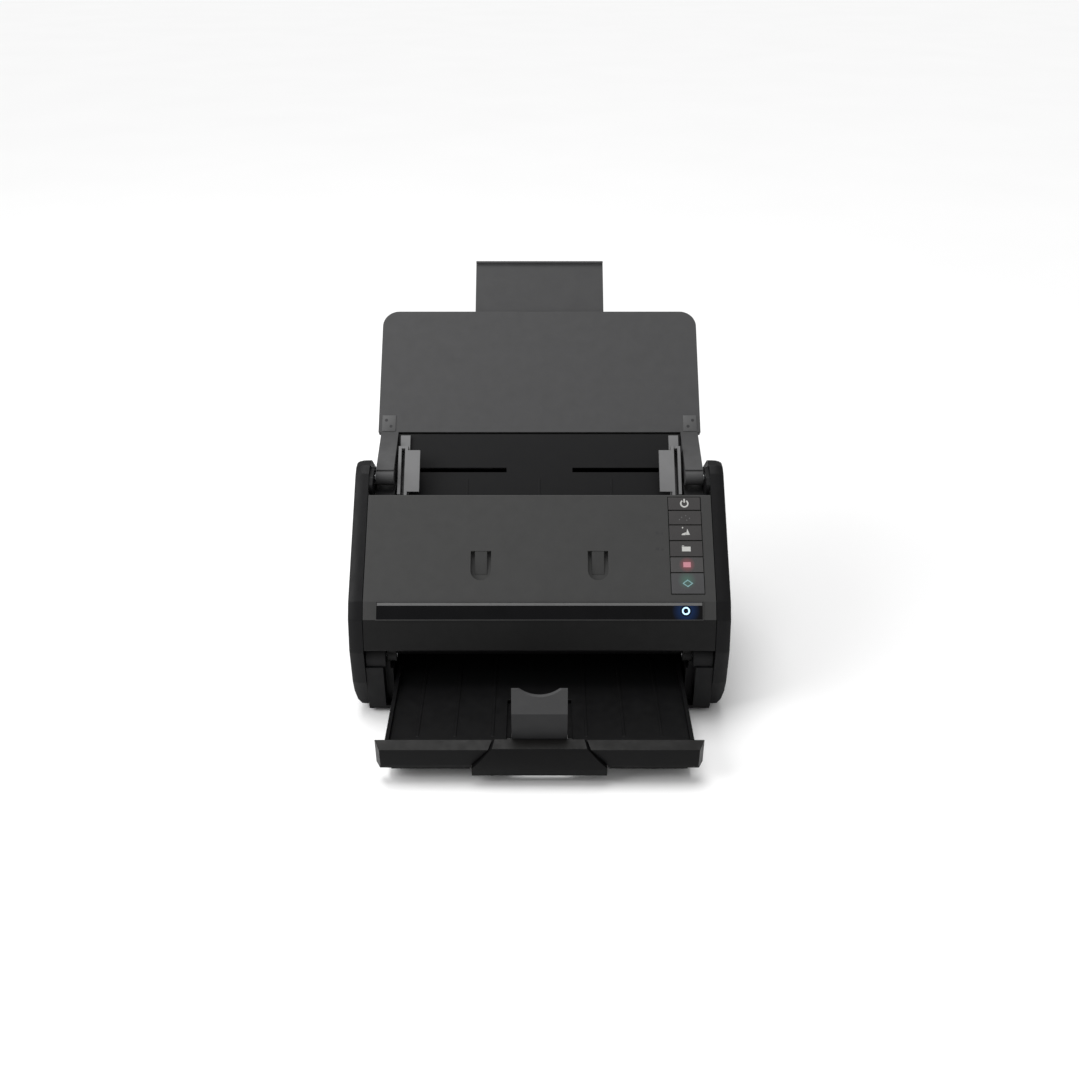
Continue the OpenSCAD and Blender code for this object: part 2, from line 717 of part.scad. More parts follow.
// how far down the panel a point at depth d clears the throat's wall
throat = on(guide_end - 1, upper_w) - lip;
throat_n = [throat[1], -throat[0]] / norm(throat);
function clear_v(d) = ((panel_top - lip) * throat_n + d * [sin(panel_a), -cos(panel_a)] * throat_n - wall - 0.5)
    / ([cos(panel_a), sin(panel_a)] * throat_n);
board_v = max(key_rows[0][0] + 6, clear_v(board_drop + 1.6));
function stem_v(row) = max((row[0] + row[1]) / 2, 11, clear_v(board_drop - 1.5) + stem_r);

module key_cap(row) placed() on_panel() {
    v0 = key_rows[row][0];
    v1 = key_rows[row][1];
    translate([0, -v1, 0]) {
        box([key_x0 + key_gap, 0, -key_skirt], [key_x1 - key_gap, v1 - v0, 0.6]);
        translate([key_mid, v1 - stem_v(key_rows[row]), -board_drop + key_travel + 1.5])
            cylinder(r = stem_r, h = board_drop - key_travel - 1.5 - key_skirt);
    }
}

module power_button() color("#4d4d4d") key_cap(0);
module upper_mode_button() color("#4d4d4d") key_cap(1);
module middle_mode_button() color("#4d4d4d") key_cap(2);
module lower_mode_button() color("#4d4d4d") key_cap(3);
module stop_button() color("#474747") key_cap(4);
module start_button() color("#474747") key_cap(5);

module button_board() placed() color("#1f5c3a") {
    on_panel() {
        box([key_x0 - 3, -key_rows[5][1] - 1, -board_drop - 1.6], [cover_half - wall, -board_v, -board_drop]);
        for (row = key_rows) translate([key_mid, -stem_v(row), -board_drop])
            cylinder(r = 1.6, h = 1);
    }
}

// ---- input tray ----

module tray_plate_outline() {
    difference() {
        translate([-tray_half, plate_e]) square([2 * tray_half, tray_len]);
        both_sides() translate([tray_half - tray_corner, tray_top - tray_corner])
            square(tray_corner + 1);
    }
    both_sides() translate([tray_half - tray_corner, tray_top - tray_corner]) circle(r = tray_corner);
}
tray_corner = 14;

module input_tray() placed() color("#4b4b4b") {
    on_path() {
        difference() {
            translate([0, 0, -tray_t]) linear_extrude(tray_t) tray_plate_outline();
            // hollow back with ribs
            difference() {
                translate([0, 0, -tray_t - 1]) linear_extrude(tray_t + 1 - skin_t)
                    offset(delta = -wall) tray_plate_outline();
                both_sides() for (x = [ext_half + 0.6, 92, 112])
                    box([x, plate_e, -tray_t], [x + 2, tray_top, 0]);
                for (e = [plate_e + 34, plate_e + 72]) both_sides()
                    box([ext_half + 1, e, -tray_t], [tray_half - 1, e + 2, 0]);
            }
            // way out for the extension
            box([-ext_half - 0.6, tray_top - 6, -tray_t + 0.8], [ext_half + 0.6, tray_top + 1, -skin_t]);
        }
        // rails that hold the extension from behind
        both_sides() box([ext_half - 5, plate_e + wall, -tray_t], [ext_half + 1, tray_top - wall, -tray_t + 1.2]);
        box([-10, plate_e + wall - 0.5, -tray_t], [10, plate_e + wall + 4, -skin_t]);
    }
    // arms down to the ears
    both_sides() difference() {
        union() {
            rod([hinge_y, hinge_z], boss_r, arm_in, arm_out);
            slab(arm_in, arm_out) polygon([
                arm_pt(-3, -boss_r + 0.6), arm_pt(5, boss_r - 0.6), on(plate_e + 0.1, 0), on(plate_e + 0.1, -tray_t),
                on(plate_e - 8, -tray_t)
            ]);
        }
        rod([hinge_y, hinge_z], shaft_r, arm_out - 9, arm_out + 1);
    }
}
// a point near the hinge axis, along and above the paper plane's directions
function arm_pt(e, w) = on(path_len + e, hinge_drop + w);

module tray_hinge_pins() placed() color("#b8bcc0") {
    both_sides() rod([hinge_y, hinge_z], shaft_r, arm_out - 9, half_w - wall - 1.5);
}

module tray_extension() placed() color("#3a3a3a") {
    on_path() difference() {
        union() {
            box([-ext_half, ext_top - 104, -skin_t - 0.3 - ext_t], [ext_half, ext_top, -skin_t - 0.3]);
            box([-ext_half, ext_top - 2, -skin_t - 0.3 - ext_t], [ext_half, ext_top, -0.6]);
        }
        box([-12, ext_top - 104 - 1, -20], [12, ext_top - 104 + ext_travel + 8, 1]);
    }
}

// ---- paper edge guides ----

module rack_outline(len) {
    pitch = PI * gear_m;
    thin = backlash / 2;
    n = floor(len / pitch);
    translate([0, -1.1 * gear_m - 3]) square([len, 3]);
    for (i = [0:n - 1])
        translate([(i + 1) * pitch - pitch / 2, 0]) polygon([
            [-pitch * 0.25 - 0.4 + thin, -1.2 * gear_m], [-pitch * 0.25 + 0.3 + thin, 0.2],
            [-pitch * 0.14 + thin, 0.85 * gear_m], [pitch * 0.14 - thin, 0.85 * gear_m],
            [pitch * 0.25 - 0.3 - thin, 0.2], [pitch * 0.25 + 0.4 - thin, -1.2 * gear_m]
        ]);
}

// right-hand guide, drawn about the middle of the paper, side = 1 above the pinion, -1 below it
module edge_guide(side) {
    on_path() {
        translate([guide_in, 0, 0]) {
            // inner and outer walls with the web between them
            box([0, path_len - 20, 0.4], [guide_skin, path_len + 28, guide_rise]);
            box([5.5, path_len - 14, 0.4], [5.5 + guide_skin, path_len + 28, guide_rise - 1]);
            box([0, path_len + 20, 0.4], [8, path_len + 42, 2.4]);
            box([0, path_len - 14, 0.4], [8, path_len + 22, 2.2]);
            box([guide_skin - 0.2, path_len + 26, 0.4], [5.6, path_len + 28, guide_rise - 1]);
            // tab over the paper's edge
            box([-10, path_len - 12, guide_rise - 1.8], [guide_skin, path_len + 24, guide_rise]);
            // neck through the chute
            box([0, rack_e - 1.6, -3.4], [6, rack_e + 1.6, 0.6]);
            // bridge from the neck to the rack
            box([0, min(rack_e - 1.6, rack_e + side * (rack_r + 4.2)), -6.4], [6, max(rack_e + 1.6, rack_e + side * (rack_r + 4.2)), -3.4]);
        }
        pitch = PI * gear_m;
        n = floor((guide_in + 4) / pitch);
        translate([guide_in + 3, rack_e + side * (rack_r + 0.05), -6.4])
            mirror([1, 0, 0]) mirror([0, side > 0 ? 1 : 0, 0]) linear_extrude(3)
                translate([guide_in + 3 - n * pitch, 0]) rack_outline((n + 2) * pitch);
    }
}
guide_skin = 2.4;
guide_rise = 15;

module right_edge_guide() placed() color("#6f6f6f") edge_guide(-1);

module left_edge_guide() placed() color("#6f6f6f") mirror([1, 0, 0]) edge_guide(1);

module guide_pinion() placed() color("#d8d8d0") {
    on_path() {
        translate([0, rack_e, -6.4]) linear_extrude(3) gear_outline(rack_n, 90);
        translate([0, rack_e, -6.4]) cylinder(r = 2.5, h = 5.1);
    }
}

// ---- output tray ----

module output_tray() placed() color("#2b2b2b") {
    difference() {
        union() {
            box([-out_half + 1, out_front + 0.2, out_floor - 2.5], [out_half - 1, out_back, out_floor]);
            both_sides() box([out_half - 3, out_front + 0.2, pan_z + 3.4], [out_half, out_back, out_floor + 4]);
            for (x = [-70, -36, 34, 68])
                box([x, out_front + 6, out_floor - 9.8], [x + 2, out_back - 2, out_floor - 2.4]);
            box([-out_half + 1, out_back - 2.4, out_floor - 14], [out_half - 1, out_back, out_floor]);
            // floor ribs under the paper
            for (x = [-92, -64, -36, 34, 62, 90])
                box([x, out_front + 8, out_floor - 0.1], [x + 2, out_back - 6, out_floor + 0.5]);
        }
        box([-stop_half - 4.2, out_front - 1, out_floor - 4], [stop_half + 4.2, out_front + stop_h + 8, out_floor + 1]);
    }
    // rails under the floor that carry the centre extension
    both_sides() box([sled_half - 3, out_front + 12, out_floor - 12.2], [sled_half + 5, out_back - 30, out_floor - 10.4]);
    both_sides() box([sled_half + 0.6, out_front + 12, out_floor - 10.5], [sled_half + 5, out_back - 30, out_floor - 2.4]);
}

module output_tray_front() placed() color("#262626") {
    difference() {
        intersection() {
            slab(-bar_half, bar_half) polygon([
                [out_front - 0.2 + 0.4, out_floor + 3.5], [out_front, out_floor + 3.5], [out_front - 8, out_floor + 0.5],
                [out_front - 8.5, 17.5], [out_front - 7, 13], [out_front + 0.2, 13]
            ]);
            translate([0, 0, -1]) linear_extrude(60) polygon([
                [-bar_half, out_front + 1], [bar_half, out_front + 1], [bar_half - 5, out_front - 9], [5 - bar_half, out_front - 9]
            ]);
        }
        slab_front_gap(0.6);
    }
    // skirt behind the bar that closes the tray's front
    both_sides() box([tip_low_half + 2, out_front - 2.5, 8], [out_half - 3.5, out_front + 0.2, 14]);
}
tip_half = 33;
tip_low_half = 50;
tip_z0 = 8;

// outline of the centre front piece, seen from the front, widened by the gap g
module tip_outline(g) {
    polygon([
        [-tip_half - g, out_floor + 4.5 + g], [tip_half + g, out_floor + 4.5 + g],
        [tip_low_half + g, 16], [tip_low_half + g, tip_z0 - g], [-tip_low_half - g, tip_z0 - g], [-tip_low_half - g, 16]
    ]);
}

module slab_front_gap(g) {
    translate([0, out_front + 2, 0]) rotate([90, 0, 0]) linear_extrude(40) tip_outline(g);
}

module output_extension() placed() color("#303030") {
    difference() {
        union() {
            // front piece
            intersection() {
                translate([0, out_front - 0.4, 0]) rotate([90, 0, 0]) linear_extrude(40) tip_outline(0);
                slab(-60, 60) polygon([
                    [out_front, out_floor + 4.5], [out_front - 9, out_floor + 2.5], [tip_front + 0.6, out_floor - 6],
                    [tip_front, 15], [tip_front + 2, tip_z0], [out_front, tip_z0]
                ]);
            }
            // sled
            box([-sled_half, out_front - 1, out_floor - 10], [sled_half, out_front + 92, out_floor - 3]);
            // hinge ears of the stopper
            both_sides() slab(stop_half + 0.5, stop_half + 3.5) hull() {
                translate(stop_hinge) circle(r = 2.6);
                translate([stop_hinge[0] - 2.6, out_floor - 4]) square([5.2, 1]);
            }
        }
        // well for the folded stopper
        box([-stop_half - 0.5, stop_hinge[0] - 4, out_floor - 11], [stop_half + 0.5, stop_hinge[0] + stop_h + 3, out_floor + 3]);
        rod(stop_hinge, 1.5 + fit, -stop_half - 5, stop_half + 5);
    }
}

module paper_stopper() placed() color("#4a4a4a") {
    bend_z = out_floor + stop_h * 0.62;
    difference() {
        union() {
            rod(stop_hinge, 2.4, -stop_half, stop_half);
            rod(stop_hinge, 1.5, -stop_half - 3.4, stop_half + 3.4);
            slab(-stop_half, stop_half) polygon([
                [stop_hinge[0] - 1.4, stop_hinge[1]], [stop_hinge[0] - 1.4, bend_z],
                [stop_hinge[0] - 1.4 + 7, out_floor + stop_h + 1], [stop_hinge[0] + 1.2 + 7, out_floor + stop_h],
                [stop_hinge[0] + 1.4, bend_z - 0.4], [stop_hinge[0] + 1.4, stop_hinge[1]]
            ]);
        }
        translate([0, stop_hinge[0] - 5, out_floor + stop_h + 22]) rotate([-90, 0, 0]) cylinder(r = 26.5, h = 20, $fn = 96);
    }
}

// ---- rollers and gears ----

module roller(c, r, list, fn_x0, fn_x1) {
    on_path() translate([0, c[0], c[1]]) rotate([0, 90, 0]) {
        translate([0, 0, fn_x0]) cylinder(r = shaft_r, h = fn_x1 - fn_x0);
        for (t = list) both_ends(t) cylinder(r = r, h = t[1] - t[0]);
    }
}

module both_ends(t) {
    translate([0, 0, t[0]]) children();
    translate([0, 0, -t[1]]) children();
}

module feed_roller() placed() color("#8a8a86") roller(feed_c, roller_r, feed_tyres, shaft_x, plate_x + plate_t + 1);
module exit_roller() placed() color("#8a8a86") roller(exit_c, roller_r, feed_tyres, shaft_x, plate_x + plate_t + 1);
module pickup_roller() placed() color("#8a8a86") roller(pickup_c, pickup_r, pickup_tyres, shaft_x, plate_x + plate_t + 1);

module feed_gear() placed() color("#d8d8d0") train_gear(feed_n, feed_c, feed_turn, shaft_r);
module exit_gear() placed() color("#d8d8d0") train_gear(exit_n, exit_c, exit_turn, shaft_r);
module pickup_gear() placed() color("#d8d8d0") train_gear(pickup_n, pickup_c, pickup_turn, shaft_r);
module link_gear() placed() color("#d8d8d0") train_gear(link_n, link_c, link_turn, 2.5 + fit);
module idler_gear() placed() color("#d8d8d0") train_gear(idle_n, idle_c, idle_turn, 2.5 + fit);

module motor_pinion() placed() color("#c2a35a") {
    train_gear(drive_n, drive_c, drive_turn, 1);
    rod(on(drive_c[0], drive_c[1]), 2, gear_x - 0.5, -plate_x + 4);
}

module separation_roller() placed() color("#3a3a3a") {
    on_path() translate([0, sep_c[0], sep_c[1]]) rotate([0, 90, 0]) {
        translate([0, 0, -29]) cylinder(r = shaft_r, h = 58);
        translate([0, 0, -20.5]) cylinder(r = sep_r, h = 41);
    }
}

module pinch_roller(e) {
    on_path() translate([0, e, pinch_w]) rotate([0, 90, 0]) {
        translate([0, 0, -97]) cylinder(r = 2, h = 194);
        for (t = feed_tyres) both_ends(t) cylinder(r = pinch_r, h = t[1] - t[0]);
    }
}

module feed_pinch_roller() placed() color("#e0ded6") pinch_roller(feed_e);
module exit_pinch_roller() placed() color("#e0ded6") pinch_roller(exit_e);

bottom_pan();
rubber_feet();
tray_bay_roof();
case_screws();
left_side_cover();
right_side_cover();
rear_cover();
left_frame_plate();
right_frame_plate();
feed_chute();
lower_paper_guide();
rear_scan_module();
rear_scan_glass();
left_hinge_cover();
right_hinge_cover();
cover_hinge_pins();
gear_axles();
drive_motor();
main_board();
usb_socket();
power_socket();
front_cover();
indicator_strip();
status_light();
front_paper_guide();
front_scan_module();
front_scan_glass();
separation_holder();
pinch_brackets();
button_board();
power_button();
upper_mode_button();
middle_mode_button();
lower_mode_button();
stop_button();
start_button();
input_tray();
tray_hinge_pins();
tray_extension();
left_edge_guide();
right_edge_guide();
guide_pinion();
output_tray();
output_tray_front();
output_extension();
paper_stopper();
feed_roller();
feed_gear();
exit_roller();
exit_gear();
pickup_roller();
pickup_gear();
link_gear();
idler_gear();
motor_pinion();
separation_roller();
feed_pinch_roller();
exit_pinch_roller();
cover_release_lever();
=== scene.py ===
"""The looks of a sheet fed document scanner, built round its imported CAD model."""

import json
import math

import bmesh
import bpy
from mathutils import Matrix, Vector

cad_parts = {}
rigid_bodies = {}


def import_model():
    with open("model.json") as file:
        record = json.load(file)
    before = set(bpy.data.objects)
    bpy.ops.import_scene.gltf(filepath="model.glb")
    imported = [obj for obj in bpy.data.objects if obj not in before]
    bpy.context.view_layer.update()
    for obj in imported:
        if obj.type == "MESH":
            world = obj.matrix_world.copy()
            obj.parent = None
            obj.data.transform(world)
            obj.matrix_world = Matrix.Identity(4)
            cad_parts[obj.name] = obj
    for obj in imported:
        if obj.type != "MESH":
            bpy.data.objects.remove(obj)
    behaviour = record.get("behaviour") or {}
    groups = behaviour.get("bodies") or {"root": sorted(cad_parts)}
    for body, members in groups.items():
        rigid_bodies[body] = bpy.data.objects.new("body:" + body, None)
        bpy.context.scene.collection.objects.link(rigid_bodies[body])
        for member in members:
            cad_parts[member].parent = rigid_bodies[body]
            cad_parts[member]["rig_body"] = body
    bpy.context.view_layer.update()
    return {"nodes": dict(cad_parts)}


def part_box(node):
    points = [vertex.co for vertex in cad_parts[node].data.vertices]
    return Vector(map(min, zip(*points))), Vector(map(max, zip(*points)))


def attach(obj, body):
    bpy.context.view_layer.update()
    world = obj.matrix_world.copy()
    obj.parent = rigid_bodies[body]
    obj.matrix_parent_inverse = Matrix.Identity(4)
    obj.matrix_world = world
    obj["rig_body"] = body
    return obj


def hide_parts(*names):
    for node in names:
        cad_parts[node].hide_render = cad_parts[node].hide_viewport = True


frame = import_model()

MM = 0.001
SHARP = math.radians(34)  # edges steeper than this stay crisp when a piece is shaded smooth
WELD = 0.002 * MM


def body_of(node):
    """The body that a CAD node belongs to."""
    return frame["nodes"][node]["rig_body"]


# ---- materials ----


class Nodes:
    """A material's node tree, with short calls for the nodes that the finishes share."""

    def __init__(self, name):
        self.material = bpy.data.materials.new(name)
        self.material.use_nodes = True
        self.tree = self.material.node_tree
        self.shader = self.tree.nodes["Principled BSDF"]
        coords = self.add("ShaderNodeTexCoord")
        self.place = coords.outputs["Object"]

    def add(self, kind, **settings):
        node = self.tree.nodes.new(kind)
        for key, value in settings.items():
            if key in node.inputs:
                node.inputs[key].default_value = value
            else:
                setattr(node, key, value)
        return node

    def link(self, a, b):
        self.tree.links.new(a, b)

    def noise(self, scale, detail=3.0, stretch=None):
        """Noise over the object's own space, scale grains to the metre, drawn out along stretch."""
        node = self.add("ShaderNodeTexNoise", Scale=scale, Detail=detail)
        place = self.place
        if stretch:
            mapping = self.add("ShaderNodeMapping")
            mapping.inputs["Scale"].default_value = stretch
            self.link(self.place, mapping.inputs["Vector"])
            place = mapping.outputs["Vector"]
        self.link(place, node.inputs["Vector"])
        return node.outputs["Fac"]

    def ramp(self, value, low, high, start=0.3, end=0.7):
        """A number that runs from low to high as value runs from start to end."""
        node = self.add("ShaderNodeMapRange")
        ends = {"From Min": start, "From Max": end, "To Min": low, "To Max": high}
        for key, number in ends.items():
            node.inputs[key].default_value = number
        self.link(value, node.inputs["Value"])
        return node.outputs["Result"]

    def two_tone(self, value, dark, light):
        """A colour that runs from dark to light as value runs from 0 to 1."""
        node = self.add("ShaderNodeMix", data_type="RGBA")
        node.inputs[6].default_value = (*dark, 1)
        node.inputs[7].default_value = (*light, 1)
        self.link(value, node.inputs[0])
        return node.outputs[2]

    def bump(self, height, distance, strength=1.0):
        """Relief of the given depth in metres on the shader's normal."""
        node = self.add("ShaderNodeBump", Distance=distance, Strength=strength)
        self.link(height, node.inputs["Height"])
        self.link(node.outputs["Normal"], self.shader.inputs["Normal"])


def add_painted_glow(m, centre, reach, colour, strength, core=0.0):
    """Painted light: emission that fades away from a point of the object, standing in for a lamp's
    light on the surface.
    """
    gap = m.add("ShaderNodeVectorMath", operation="DISTANCE")
    gap.inputs[1].default_value = centre
    m.link(m.place, gap.inputs[0])
    near = m.ramp(gap.outputs["Value"], 1.0, 0.0, core, reach)
    m.link(m.two_tone(near, (0, 0, 0), colour), m.shader.inputs["Emission Color"])
    m.shader.inputs["Emission Strength"].default_value = strength


def shaded(colour, amount):
    """The colour made lighter or darker by a factor."""
    return tuple(min(1.0, c * amount) for c in colour)


def plastic(
    name, colour, rough=0.5, grain=2600, depth=0.00006, spread=0.05, gloss=0.3, glow=None,
):
    """Moulded plastic with a spark-eroded grain, faint mottling and handling marks."""
    m = Nodes(name)
    if glow:
        add_painted_glow(m, *glow)
    mottle = m.noise(90, 6)
    fine = m.noise(grain, 2)
    tone = m.ramp(mottle, 0.0, 1.0, 0.25, 0.75)
    dark, light = shaded(colour, 1 - spread), shaded(colour, 1 + spread)
    m.link(m.two_tone(tone, dark, light), m.shader.inputs["Base Color"])
    m.link(m.ramp(m.noise(140, 4), rough - 0.06, rough + 0.07), m.shader.inputs["Roughness"])
    m.shader.inputs["Specular IOR Level"].default_value = gloss
    m.bump(fine, depth)
    return m.material


def glossy(name, colour, rough=0.06, glow=None):
    """Polished plastic: a clear top coat over a slightly wavy dark ground."""
    m = Nodes(name)
    if glow:
        add_painted_glow(m, *glow)
    tone = m.ramp(m.noise(60, 3), 0.0, 1.0)
    dark, light = shaded(colour, 0.85), shaded(colour, 1.15)
    m.link(m.two_tone(tone, dark, light), m.shader.inputs["Base Color"])
    m.link(m.ramp(m.noise(420, 4), rough, rough + 0.05), m.shader.inputs["Roughness"])
    m.shader.inputs["Specular IOR Level"].default_value = 0.12
    m.shader.inputs["Coat Weight"].default_value = 0.06
    m.shader.inputs["Coat Roughness"].default_value = 0.03
    m.bump(m.noise(25, 1), 0.00005, 0.4)
    return m.material


def rubber(name, colour):
    """Soft rubber: matt, with a ground finish in fine streaks."""
    m = Nodes(name)
    tone = m.ramp(m.noise(300, 5), 0.0, 1.0)
    dark, light = shaded(colour, 0.8), shaded(colour, 1.2)
    m.link(m.two_tone(tone, dark, light), m.shader.inputs["Base Color"])
    m.link(m.ramp(m.noise(500, 3), 0.72, 0.9), m.shader.inputs["Roughness"])
    m.shader.inputs["Specular IOR Level"].default_value = 0.3
    m.bump(m.noise(900, 3, (4, 1, 1)), 0.00008)
    return m.material


def metal(name, colour, rough=0.3, stretch=(1, 40, 40)):
    """Drawn or rolled metal with streaks along x."""
    m = Nodes(name)
    streaks = m.noise(60, 6, stretch)
    dark, light = shaded(colour, 0.86), shaded(colour, 1.1)
    m.link(m.two_tone(m.ramp(streaks, 0.0, 1.0), dark, light), m.shader.inputs["Base Color"])
    m.link(m.ramp(streaks, rough - 0.08, rough + 0.12), m.shader.inputs["Roughness"])
    m.shader.inputs["Metallic"].default_value = 1.0
    m.bump(streaks, 0.00003)
    return m.material


def board(name):
    """Solder mask over copper tracks: two greens in a fine maze with a satin coat."""
    m = Nodes(name)
    tracks = m.add("ShaderNodeTexBrick")
    maze = {"Scale": 160.0, "Mortar Size": 0.12, "Brick Width": 0.8, "Row Height": 0.3}
    for key, number in maze.items():
        tracks.inputs[key].default_value = number
    tracks.inputs["Color1"].default_value = (0.012, 0.10, 0.045, 1)
    tracks.inputs["Color2"].default_value = (0.010, 0.075, 0.035, 1)
    tracks.inputs["Mortar"].default_value = (0.05, 0.21, 0.09, 1)
    m.link(m.place, tracks.inputs["Vector"])
    m.link(tracks.outputs["Color"], m.shader.inputs["Base Color"])
    m.link(m.ramp(m.noise(200, 3), 0.25, 0.4), m.shader.inputs["Roughness"])
    m.bump(tracks.outputs["Fac"], 0.00005, 0.5)
    return m.material


def glass(name):
    """The flat glass over a line of sensors: dark, smooth, with faint wipe marks."""
    m = Nodes(name)
    marks = m.noise(22, 6, (1, 6, 6))
    dark, light = (0.010, 0.014, 0.016), (0.022, 0.028, 0.03)
    m.link(m.two_tone(m.ramp(marks, 0, 1), dark, light), m.shader.inputs["Base Color"])
    m.link(m.ramp(marks, 0.02, 0.08), m.shader.inputs["Roughness"])
    m.shader.inputs["Coat Weight"].default_value = 1.0
    m.shader.inputs["IOR"].default_value = 1.52
    return m.material


def printed(name, colour, rough=0.45):
    """Pad-printed ink: nearly flat, slightly uneven where the ink is thin."""
    m = Nodes(name)
    thin = m.ramp(m.noise(1500, 3), 0.0, 1.0)
    m.link(m.two_tone(thin, shaded(colour, 0.86), colour), m.shader.inputs["Base Color"])
    m.link(m.ramp(m.noise(700, 2), rough - 0.05, rough + 0.1), m.shader.inputs["Roughness"])
    m.bump(m.noise(2000, 2), 0.00002)
    return m.material


def lamp(name, colour, strength):
    """A lit light pipe: brighter in the thick of the moulding."""
    m = Nodes(name)
    glow = m.ramp(m.noise(500, 2), 0.7, 1.0)
    m.link(m.two_tone(glow, shaded(colour, 0.5), colour), m.shader.inputs["Base Color"])
    m.link(m.two_tone(glow, shaded(colour, 0.7), colour), m.shader.inputs["Emission Color"])
    m.shader.inputs["Emission Strength"].default_value = strength
    m.shader.inputs["Roughness"].default_value = 0.2
    return m.material


CHEEK = plastic("cheek_black_plastic", (0.0070, 0.0070, 0.0075), 0.45, 2400, gloss=0.13)
BLACK = plastic("inner_black_plastic", (0.0080, 0.0080, 0.0085), 0.52, 2200, gloss=0.15)
PANEL = plastic("panel_charcoal_plastic", (0.041, 0.041, 0.0405), 0.58, 2800, 0.00005, gloss=0.2)
# painted shade: a much darker plastic for the cover below the strip, standing in for the shade on
# the lower face
SHADED_FACE = plastic("lower_face_painted_shade", (0.0085, 0.0085, 0.0085), 0.55, 2800, 0.00005, gloss=0.15)
TRAY = plastic("tray_charcoal_plastic", (0.058, 0.058, 0.059), 0.60, 2600, 0.00006, gloss=0.22)
ARM = plastic("arm_grey_plastic", (0.085, 0.085, 0.086), 0.55, 2600, gloss=0.25)
GUIDE = plastic("guide_grey_plastic", (0.17, 0.17, 0.172), 0.5, 2600)
KEY = plastic("key_plastic", (0.040, 0.038, 0.038), 0.5, 3000, gloss=0.25)
OUTPUT = plastic("output_tray_plastic", (0.0042, 0.0042, 0.0044), 0.36, 2400, gloss=0.09)
# painted reflection: a slightly lighter, warmer near-black for the front bars' upward bevels
RIM_REFLECTION = plastic("bar_rim_painted_reflection", (0.0052, 0.0050, 0.0047), 0.34, 2400, gloss=0.10)
STOP = plastic("stopper_plastic", (0.054, 0.054, 0.055), 0.5, 2600, gloss=0.2)
# painted shade: a darker copy of the stopper plastic for the part below the bend
STOP_SHADED = plastic("stopper_painted_shade", (0.026, 0.026, 0.027), 0.5, 2600, gloss=0.18)
WHITE = plastic("gear_plastic", (0.62, 0.61, 0.56), 0.42, 1800, 0.00004, 0.04)
MOTOR = metal("motor_steel", (0.42, 0.43, 0.45), 0.32)
STEEL = metal("bright_steel", (0.56, 0.57, 0.58), 0.24)
PLATE = metal("zinc_plate", (0.46, 0.48, 0.50), 0.38, (30, 1, 30))
BRASS = metal("brass", (0.72, 0.52, 0.22), 0.26)
# painted reflection: a lighter grey for the band along the strip's top, standing in for the light
# it mirrors
GLINT_PAINT = plastic("strip_painted_reflection", (0.13, 0.13, 0.13), 0.3, 1500, 0.00001, gloss=0.4)
LENS = glossy("dark_lens", (0.004, 0.006, 0.012))
RUBBER = rubber("black_rubber", (0.020, 0.020, 0.020))
TYRE = rubber("grey_rubber", (0.20, 0.20, 0.19))
BOARD = board("circuit_board")
GLASS = glass("scan_glass")
LIGHT = lamp("blue_light", (0.42, 0.68, 1.0), 1.5)
INK_WHITE = printed("white_ink", (0.50, 0.50, 0.48))
INK_GREY = printed("grey_ink", (0.11, 0.11, 0.11))
# dark ink for the printed marks, also used as painted shade in the bracket pits
INK_DARK_AND_PIT_SHADE = printed("dark_ink_and_pit_shade", (0.016, 0.016, 0.017))
INK_RED = printed("red_ink", (0.52, 0.22, 0.26))
INK_TEAL = printed("teal_ink", (0.20, 0.36, 0.37))

FINISH = {
    "left_side_cover": CHEEK, "right_side_cover": CHEEK, "front_cover": PANEL,
    "status_light": LENS, "rubber_feet": RUBBER,
    "input_tray": TRAY, "tray_extension": STOP, "left_edge_guide": GUIDE, "right_edge_guide": GUIDE,
    "power_button": KEY, "upper_mode_button": KEY, "middle_mode_button": KEY,
    "lower_mode_button": KEY, "stop_button": KEY, "start_button": KEY,
    "output_tray": OUTPUT, "output_tray_front": OUTPUT, "output_extension": OUTPUT,
    "paper_stopper": STOP, "feed_roller": TYRE, "exit_roller": TYRE, "pickup_roller": TYRE,
    "separation_roller": RUBBER, "feed_pinch_roller": WHITE, "exit_pinch_roller": WHITE,
    "feed_gear": WHITE, "exit_gear": WHITE, "pickup_gear": WHITE, "link_gear": WHITE,
    "idler_gear": WHITE, "guide_pinion": WHITE, "motor_pinion": BRASS, "drive_motor": MOTOR,
    "left_frame_plate": PLATE, "right_frame_plate": PLATE, "case_screws": STEEL,
    "cover_hinge_pins": STEEL, "gear_axles": STEEL, "tray_hinge_pins": STEEL,
    "usb_socket": STEEL, "main_board": BOARD, "button_board": BOARD,
    "rear_scan_glass": GLASS, "front_scan_glass": GLASS, "separation_holder": GUIDE,
    "pinch_brackets": GUIDE, "cover_release_lever": KEY,
}


# ---- flat faces of the CAD model that carry details ----


class Face:
    """A flat face of a node: its middle, its directions and its half sizes, in metres."""

    def __init__(self, node, toward=(0, -0.7, 0.7)):
        self.node = node
        mesh = frame["nodes"][node].data
        toward = Vector(toward).normalized()
        facing = [p for p in mesh.polygons if p.normal.dot(toward) > 0.8]
        best = max(facing, key=lambda p: p.area)
        self.normal = best.normal.copy()
        self.right = Vector((1, 0, 0))
        self.up = self.normal.cross(self.right).normalized()
        level = best.center.dot(self.normal)
        thin = 0.05 * MM
        flat = [v.co for v in mesh.vertices if abs(v.co.dot(self.normal) - level) < thin]
        across = [p.dot(self.right) for p in flat]
        along = [p.dot(self.up) for p in flat]
        self.half = ((max(across) - min(across)) / 2, (max(along) - min(along)) / 2)
        self.middle = (
            self.right * (max(across) + min(across)) / 2
            + self.up * (max(along) + min(along)) / 2
            + self.normal * level
        )

    def at(self, u, v, w=0.0):
        """A point u to the right, v up and w out of the face, in millimetres from its middle."""
        return self.middle + (self.right * u + self.up * v + self.normal * w) * MM


